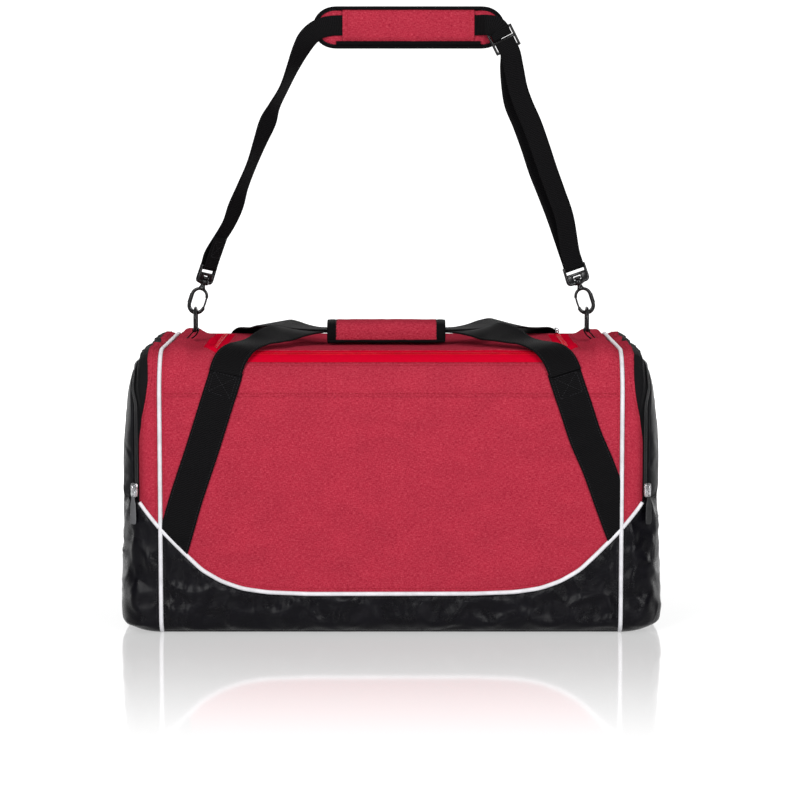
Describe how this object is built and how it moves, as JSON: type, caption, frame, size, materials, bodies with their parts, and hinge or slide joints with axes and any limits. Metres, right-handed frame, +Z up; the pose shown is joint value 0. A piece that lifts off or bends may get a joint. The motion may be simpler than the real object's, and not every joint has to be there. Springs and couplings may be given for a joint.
{
  "type": "hockey equipment bag",
  "caption": "Zip-top rectangular fabric kit bag with curved two-tone panels, end pockets, webbing carry handles with a wrap grip and a clip-on padded shoulder strap.",
  "frame": {"origin": "centre of the footprint on the floor", "axes": "+X along the bag towards its right end seen from the front, +Y towards the back, +Z up"},
  "size_m": [0.65, 0.3342, 0.76],
  "materials": {
    "red_cloth": "heather weave, matte",
    "black_cloth": "smooth nylon, satin",
    "lining": "plain weave",
    "board": "stiffener sheet",
    "piping": "smooth bead",
    "zip_tape_red": "woven tape",
    "zip_tape_black": "woven tape",
    "zip_metal": "polished die-cast",
    "pull_rubber": "moulded",
    "webbing": "ribbed webbing",
    "hardware": "moulded black",
    "padding": "bound foam"
  },
  "bodies": {
    "bag": {"base_panel": "black_cloth", "base_board": "board", "front_lower_panel": "black_cloth", "back_lower_panel": "black_cloth", "front_piping": "piping", "back_piping": "piping", "front_panel": "red_cloth", "back_panel": "red_cloth", "top_surround": "red_cloth", "main_zip_outer_tape": "zip_tape_red", "main_zip_coil": "zip_tape_red", "left_end_piping": "piping", "left_divider": "lining", "left_gusset": "red_cloth", "left_end_lower_panel": "black_cloth", "left_pocket_zip": "zip_tape_black", "front_left_webbing": "webbing", "back_left_webbing": "webbing", "left_d_ring_tab": "webbing", "right_end_piping": "piping", "right_divider": "lining", "right_gusset": "red_cloth", "right_end_lower_panel": "black_cloth", "right_pocket_zip": "zip_tape_black", "front_right_webbing": "webbing", "back_right_webbing": "webbing", "right_d_ring_tab": "webbing"},
    "lid": {"main_zip_inner_tape": "zip_tape_red", "lid_panel": "red_cloth"},
    "front_handle": {"front_handle_webbing": "webbing", "grip_lower": "red_cloth"},
    "grip_top": {"grip_flap": "red_cloth"},
    "back_handle": {"back_handle_webbing": "webbing"},
    "shoulder_strap": {"strap_webbing": "webbing", "strap_loop_webbing": "webbing", "left_swivel_loop": "hardware", "right_swivel_loop": "hardware"},
    "pad": {"pad_base": "padding", "pad_cover": "red_cloth"},
    "adjuster": {"strap_adjuster": "hardware"},
    "main_zip_slider": {"main_slider": "zip_metal"},
    "main_zip_pull": {"main_slider_pull": "zip_metal"},
    "left_flap": {"left_pocket_flap": "black_cloth"},
    "left_ring": {"left_d_ring": "hardware"},
    "left_snap_hook": {"left_hook": "hardware"},
    "left_gate": {"left_hook_gate": "hardware"},
    "left_zip_slider": {"left_pocket_slider": "zip_metal"},
    "left_zip_pull": {"left_pocket_pull": "pull_rubber"},
    "right_flap": {"right_pocket_flap": "black_cloth"},
    "right_ring": {"right_d_ring": "hardware"},
    "right_snap_hook": {"right_hook": "hardware"},
    "right_gate": {"right_hook_gate": "hardware"},
    "right_zip_slider": {"right_pocket_slider": "zip_metal"},
    "right_zip_pull": {"right_pocket_pull": "pull_rubber"}
  },
  "joints": [
    {"name": "lid_open", "type": "hinge", "parent": "bag", "child": "lid", "pos_m": [0, 0.108, 0.3434], "axis": [-1, 0, 0], "range_deg": [0, 40]},
    {"name": "front_handle_swing", "type": "hinge", "parent": "bag", "child": "front_handle", "pos_m": [0, -0.157, 0.325], "axis": [1, 0, 0], "range_deg": [0, 160], "deforming": ["front_handle_webbing"]},
    {"name": "back_handle_swing", "type": "hinge", "parent": "bag", "child": "back_handle", "pos_m": [0, 0.157, 0.325], "axis": [-1, 0, 0], "range_deg": [0, 160], "deforming": ["back_handle_webbing"]},
    {"name": "grip_flap_open", "type": "hinge", "parent": "front_handle", "child": "grip_top", "pos_m": [0, -0.0035, 0.3613], "axis": [-1, 0, 0], "range_deg": [0, 150]},
    {"name": "strap_swing", "type": "hinge", "parent": "bag", "child": "shoulder_strap", "pos_m": [0, 0, 0.371], "axis": [1, 0, 0], "range_deg": [-80, 80], "deforming": ["strap_webbing", "strap_loop_webbing"]},
    {"name": "pad_slide", "type": "slide", "parent": "shoulder_strap", "child": "pad", "axis": [1, 0, 0], "range_m": [-0.015, 0]},
    {"name": "adjuster_slide", "type": "slide", "parent": "shoulder_strap", "child": "adjuster", "axis": [0.33, 0, -0.944], "range_m": [0, 0.12]},
    {"name": "main_zip_travel", "type": "slide", "parent": "bag", "child": "main_zip_slider", "axis": [0, -1, 0], "range_m": [0, 0.2]},
    {"name": "main_pull_turn", "type": "hinge", "parent": "main_zip_slider", "child": "main_zip_pull", "pos_m": [0.216, 0.1178, 0.34835], "axis": [1, 0, 0], "range_deg": [0, 130]},
    {"name": "left_d_ring_tilt", "type": "hinge", "parent": "bag", "child": "left_ring", "pos_m": [-0.246, 0, 0.357], "axis": [0, 1, 0], "range_deg": [0, 4]},
    {"name": "left_hook_swivel", "type": "hinge", "parent": "shoulder_strap", "child": "left_snap_hook", "pos_m": [-0.23549, 0, 0.41734], "axis": [0.309, 0, 0.9511], "range_deg": [-15, 15]},
    {"name": "left_gate_press", "type": "hinge", "parent": "left_snap_hook", "child": "left_gate", "pos_m": [-0.23158, 0, 0.39945], "axis": [0, 1, 0], "range_deg": [0, 17], "stiffness_Nm_per_rad": 0.02},
    {"name": "left_pocket_open", "type": "hinge", "parent": "bag", "child": "left_flap", "pos_m": [-0.325, 0, 0.166], "axis": [0, -1, 0], "range_deg": [0, 110]},
    {"name": "left_zip_travel", "type": "slide", "parent": "bag", "child": "left_zip_slider", "axis": [0, 0, 1], "range_m": [0, 0.1]},
    {"name": "left_pull_turn", "type": "hinge", "parent": "left_zip_slider", "child": "left_zip_pull", "pos_m": [-0.3111, -0.16059, 0.1744], "axis": [-0.8063, 0.5915, 0], "range_deg": [0, 130]},
    {"name": "right_d_ring_tilt", "type": "hinge", "parent": "bag", "child": "right_ring", "pos_m": [0.246, 0, 0.357], "axis": [0, -1, 0], "range_deg": [0, 4]},
    {"name": "right_hook_swivel", "type": "hinge", "parent": "shoulder_strap", "child": "right_snap_hook", "pos_m": [0.23549, 0, 0.41734], "axis": [-0.309, 0, 0.9511], "range_deg": [-15, 15]},
    {"name": "right_gate_press", "type": "hinge", "parent": "right_snap_hook", "child": "right_gate", "pos_m": [0.23158, 0, 0.39945], "axis": [0, -1, 0], "range_deg": [0, 17], "stiffness_Nm_per_rad": 0.02},
    {"name": "right_pocket_open", "type": "hinge", "parent": "bag", "child": "right_flap", "pos_m": [0.325, 0, 0.166], "axis": [0, 1, 0], "range_deg": [0, 110]},
    {"name": "right_zip_travel", "type": "slide", "parent": "bag", "child": "right_zip_slider", "axis": [0, 0, 1], "range_m": [0, 0.1]},
    {"name": "right_pull_turn", "type": "hinge", "parent": "right_zip_slider", "child": "right_zip_pull", "pos_m": [0.3111, -0.16059, 0.1744], "axis": [-0.8063, -0.5915, 0], "range_deg": [0, 130]}
  ],
  "couplings": [
    {"joint": "front_handle_swing", "follows": "lid_open", "ratio": 4},
    {"joint": "back_handle_swing", "follows": "lid_open", "ratio": 4}
  ]
}
